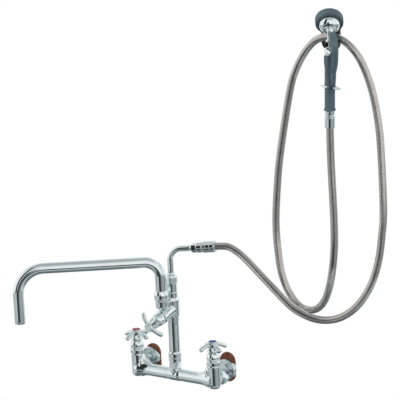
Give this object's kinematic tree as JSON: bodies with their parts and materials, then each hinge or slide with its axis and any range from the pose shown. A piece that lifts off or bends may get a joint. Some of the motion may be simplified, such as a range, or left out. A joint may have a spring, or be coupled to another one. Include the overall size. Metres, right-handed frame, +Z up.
{
  "type": "pre rinse faucet",
  "caption": "Wall-mounted hot and cold mixing faucet with a swing nozzle on its riser and a squeeze-lever hand spray on a flexible steel hose over a wall hook.",
  "frame": {"origin": "on the wall, midway between the two water inlets", "axes": "+X towards the cold inlet, +Y into the wall, +Z up"},
  "size_m": [0.7825, 0.2869, 0.8517],
  "materials": {
    "polished_chrome": "polished chrome plate on brass",
    "gasket_rubber": "reddish brown rubber, matt",
    "fibre": "pressed fibre washer",
    "valve_brass": "turned brass",
    "seal_rubber": "black nitrile rubber",
    "red_button": "red plastic disc",
    "blue_button": "blue plastic disc",
    "stainless_steel": "turned and drawn stainless steel",
    "braided_steel_hose": "close-wound stainless steel over a rubber tube",
    "grip_sleeve": "slate grey moulded sleeve",
    "bumper_rubber": "slate grey rubber",
    "lever_coating": "slate grey coating on a pressed lever",
    "spray_face_steel": "drilled stainless steel disc",
    "black_hook": "black powder coat"
  },
  "bodies": {
    "faucet": {"mixing_body": "polished_chrome", "hot_gasket": "gasket_rubber", "cold_gasket": "gasket_rubber", "hot_inlet": "polished_chrome", "cold_inlet": "polished_chrome", "hot_inlet_nut": "polished_chrome", "cold_inlet_nut": "polished_chrome", "inlet_washers": "fibre", "hot_seat": "valve_brass", "hot_bonnet": "polished_chrome", "cold_seat": "valve_brass", "cold_bonnet": "polished_chrome", "addon_seat": "valve_brass", "addon_bonnet": "polished_chrome", "stem_seals": "seal_rubber", "riser_foot": "polished_chrome", "riser_nut": "polished_chrome", "riser_pipe": "polished_chrome", "addon_body": "polished_chrome", "nozzle_nut": "polished_chrome", "hose_sleeve": "polished_chrome", "elbow_nut": "polished_chrome", "elbow": "polished_chrome", "elbow_fitting": "polished_chrome", "swivel_nut": "polished_chrome", "elbow_ferrule": "polished_chrome", "hose": "braided_steel_hose", "spray_ferrule": "polished_chrome", "spray_tail": "polished_chrome", "spray_body": "polished_chrome", "spray_grip": "grip_sleeve", "spray_face": "spray_face_steel", "spray_bumper": "bumper_rubber", "lever_pin": "stainless_steel", "plunger_spring": "stainless_steel", "plunger_cap": "polished_chrome", "wall_hook": "black_hook"},
    "hot_stem_body": {"hot_stem": "valve_brass", "hot_handle": "polished_chrome", "hot_button": "red_button", "hot_screw": "stainless_steel"},
    "cold_stem_body": {"cold_stem": "valve_brass", "cold_handle": "polished_chrome", "cold_button": "blue_button", "cold_screw": "stainless_steel"},
    "addon_stem_body": {"addon_stem": "valve_brass", "addon_handle": "polished_chrome", "addon_screw": "stainless_steel"},
    "hot_plug_body": {"hot_plug": "valve_brass", "hot_washer": "seal_rubber"},
    "cold_plug_body": {"cold_plug": "valve_brass", "cold_washer": "seal_rubber"},
    "addon_plug_body": {"addon_plug": "valve_brass", "addon_washer": "seal_rubber"},
    "nozzle_body": {"nozzle": "polished_chrome", "nozzle_seal": "seal_rubber"},
    "lever_body": {"spray_lever": "lever_coating"},
    "plunger_body": {"plunger": "stainless_steel"},
    "ring_body": {"hold_ring": "stainless_steel"}
  },
  "joints": [
    {"name": "hot_turn", "type": "hinge", "parent": "faucet", "child": "hot_stem_body", "pos_m": [-0.1016, -0.056, 0.06], "axis": [0, 0, 1], "range_deg": [0, 90]},
    {"name": "cold_turn", "type": "hinge", "parent": "faucet", "child": "cold_stem_body", "pos_m": [0.1016, -0.056, 0.06], "axis": [0, 0, -1], "range_deg": [0, 90]},
    {"name": "addon_turn", "type": "hinge", "parent": "faucet", "child": "addon_stem_body", "pos_m": [-0.00395, -0.08409, 0.12823], "axis": [-0.1316, -0.9363, -0.3256], "range_deg": [0, 90]},
    {"name": "hot_lift", "type": "slide", "parent": "faucet", "child": "hot_plug_body", "axis": [0, 0, 1], "range_m": [0, 0.0025]},
    {"name": "cold_lift", "type": "slide", "parent": "faucet", "child": "cold_plug_body", "axis": [0, 0, 1], "range_m": [0, 0.0025]},
    {"name": "addon_lift", "type": "slide", "parent": "faucet", "child": "addon_plug_body", "axis": [-0.1316, -0.9363, -0.3256], "range_m": [0, 0.0025]},
    {"name": "nozzle_swing", "type": "hinge", "parent": "faucet", "child": "nozzle_body", "pos_m": [-0.00459, -0.08868, 0.172], "axis": [0, 0, 1], "range_deg": [-50, 135]},
    {"name": "lever_squeeze", "type": "hinge", "parent": "faucet", "child": "lever_body", "pos_m": [0.43922, -0.07053, 0.76798], "axis": [0.6555, 0.7547, -0.0263], "range_deg": [0, 5], "stiffness_Nm_per_rad": 2.3, "springref_deg": -5.73},
    {"name": "plunger_slide", "type": "slide", "parent": "faucet", "child": "plunger_body", "axis": [-0.7541, 0.6561, 0.0303], "range_m": [0, 0.0035], "deforming": ["plunger_spring"]},
    {"name": "ring_slide", "type": "slide", "parent": "faucet", "child": "ring_body", "axis": [0.0401, 0, 0.9992], "range_m": [-0.014, 0.01]}
  ],
  "couplings": [
    {"joint": "hot_lift", "follows": "hot_turn", "m_per_rad": 0.0015915},
    {"joint": "cold_lift", "follows": "cold_turn", "m_per_rad": 0.0015915},
    {"joint": "addon_lift", "follows": "addon_turn", "m_per_rad": 0.0015915},
    {"joint": "plunger_slide", "follows": "lever_squeeze", "m_per_rad": 0.0395}
  ]
}
